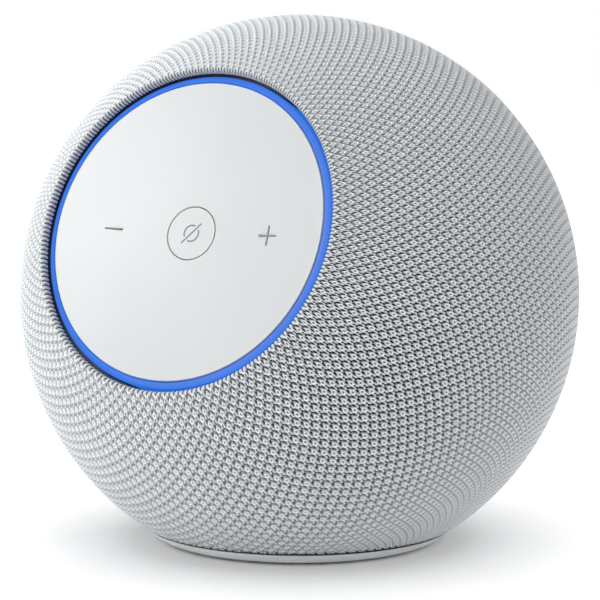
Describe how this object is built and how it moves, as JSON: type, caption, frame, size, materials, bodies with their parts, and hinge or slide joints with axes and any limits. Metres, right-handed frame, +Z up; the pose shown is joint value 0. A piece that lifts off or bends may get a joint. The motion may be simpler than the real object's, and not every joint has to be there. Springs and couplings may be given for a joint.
{
  "type": "smart speaker",
  "caption": "Ball-shaped knit-covered smart speaker on a small round base, with a tilted dished control panel, mute button, volume keys and a lit ring.",
  "frame": {"origin": "on the surface it stands on, under the middle of the ball", "axes": "+Z up, front with the control panel towards -Y, +X to the right seen from the front"},
  "size_m": [0.1086, 0.1074, 0.1021],
  "materials": {
    "knit_fabric": "light grey three-dimensional knit, matt",
    "inner_plastic": "moulded, fine texture",
    "base_plastic": "moulded light grey, satin",
    "black_plastic": "moulded black",
    "panel_plastic": "moulded white, satin",
    "key_plastic": "moulded dark grey, satin",
    "light_guide": "frosted light guide, lit blue",
    "rubber": "matt",
    "circuit_board": "green solder mask on glass-fibre board",
    "steel": "plain",
    "painted_steel": "black, satin",
    "ferrite": "dark grey ceramic magnet, matt",
    "cone_paper": "black pressed cone, matt",
    "copper": "enamelled copper winding",
    "spider_cloth": "resin-stiffened woven cloth",
    "dome_silk": "coated silk dome",
    "aluminium": "satin",
    "led_body": "clear lens over a white case",
    "cable_film": "flat flexible cable film"
  },
  "bodies": {
    "housing": {"base_cap": "base_plastic", "base_screw_1": "steel", "base_screw_2": "steel", "base_screw_3": "steel", "chassis_tray": "inner_plastic", "control_board": "circuit_board", "control_panel": "panel_plastic", "dc_jack": "black_plastic", "dc_jack_pin": "steel", "fabric_cover": "knit_fabric", "front_carrier_shell": "inner_plastic", "heat_spreader": "aluminium", "key_mat": "rubber", "light_ring": "light_guide", "main_board": "circuit_board", "microphone_left": "steel", "microphone_right": "steel", "mute_switch": "steel", "panel_frame": "inner_plastic", "panel_screw_1": "steel", "panel_screw_2": "steel", "panel_screw_3": "steel", "port_bezel": "base_plastic", "power_capacitor": "aluminium", "power_inductor": "copper", "processor": "black_plastic", "rear_carrier_shell": "inner_plastic", "ribbon_cable": "cable_film", "ring_led_1": "led_body", "ring_led_2": "led_body", "ring_led_3": "led_body", "ring_led_4": "led_body", "rubber_foot": "rubber", "speaker_enclosure": "inner_plastic", "tweeter_housing": "inner_plastic", "tweeter_magnet": "ferrite", "tweeter_yoke": "steel", "volume_down_switch": "steel", "volume_up_switch": "steel", "wifi_module": "steel", "woofer_basket": "painted_steel", "woofer_gasket": "rubber", "woofer_magnet": "ferrite", "woofer_screw_1": "steel", "woofer_screw_2": "steel", "woofer_screw_3": "steel", "woofer_screw_4": "steel", "woofer_spider": "spider_cloth", "woofer_surround": "rubber", "woofer_top_plate": "steel", "woofer_yoke": "steel"},
    "mute_button": {"mute_button": "panel_plastic"},
    "volume_down_key": {"volume_down_key": "key_plastic"},
    "volume_up_key": {"volume_up_key": "key_plastic"},
    "woofer_moving": {"woofer_cone": "cone_paper", "woofer_dust_cap": "cone_paper", "woofer_voice_coil": "copper"},
    "tweeter_dome": {"tweeter_dome": "dome_silk"}
  },
  "joints": [
    {"name": "mute_press", "type": "slide", "parent": "housing", "child": "mute_button", "axis": [0, 0.9367, -0.3502], "range_m": [0, 0.0005], "stiffness_N_per_m": 600, "springref_m": -0.001},
    {"name": "volume_down_press", "type": "slide", "parent": "housing", "child": "volume_down_key", "axis": [0, 0.9367, -0.3502], "range_m": [0, 0.0005], "stiffness_N_per_m": 600, "springref_m": -0.001},
    {"name": "volume_up_press", "type": "slide", "parent": "housing", "child": "volume_up_key", "axis": [0, 0.9367, -0.3502], "range_m": [0, 0.0005], "stiffness_N_per_m": 600, "springref_m": -0.001},
    {"name": "woofer_stroke", "type": "slide", "parent": "housing", "child": "woofer_moving", "axis": [0, 0, 1], "range_m": [-0.002, 0.002], "stiffness_N_per_m": 900, "deforming": ["woofer_surround", "woofer_spider"]},
    {"name": "tweeter_stroke", "type": "slide", "parent": "housing", "child": "tweeter_dome", "axis": [0, -0.788, -0.6157], "range_m": [-0.0002, 0.0002], "stiffness_N_per_m": 1500}
  ]
}
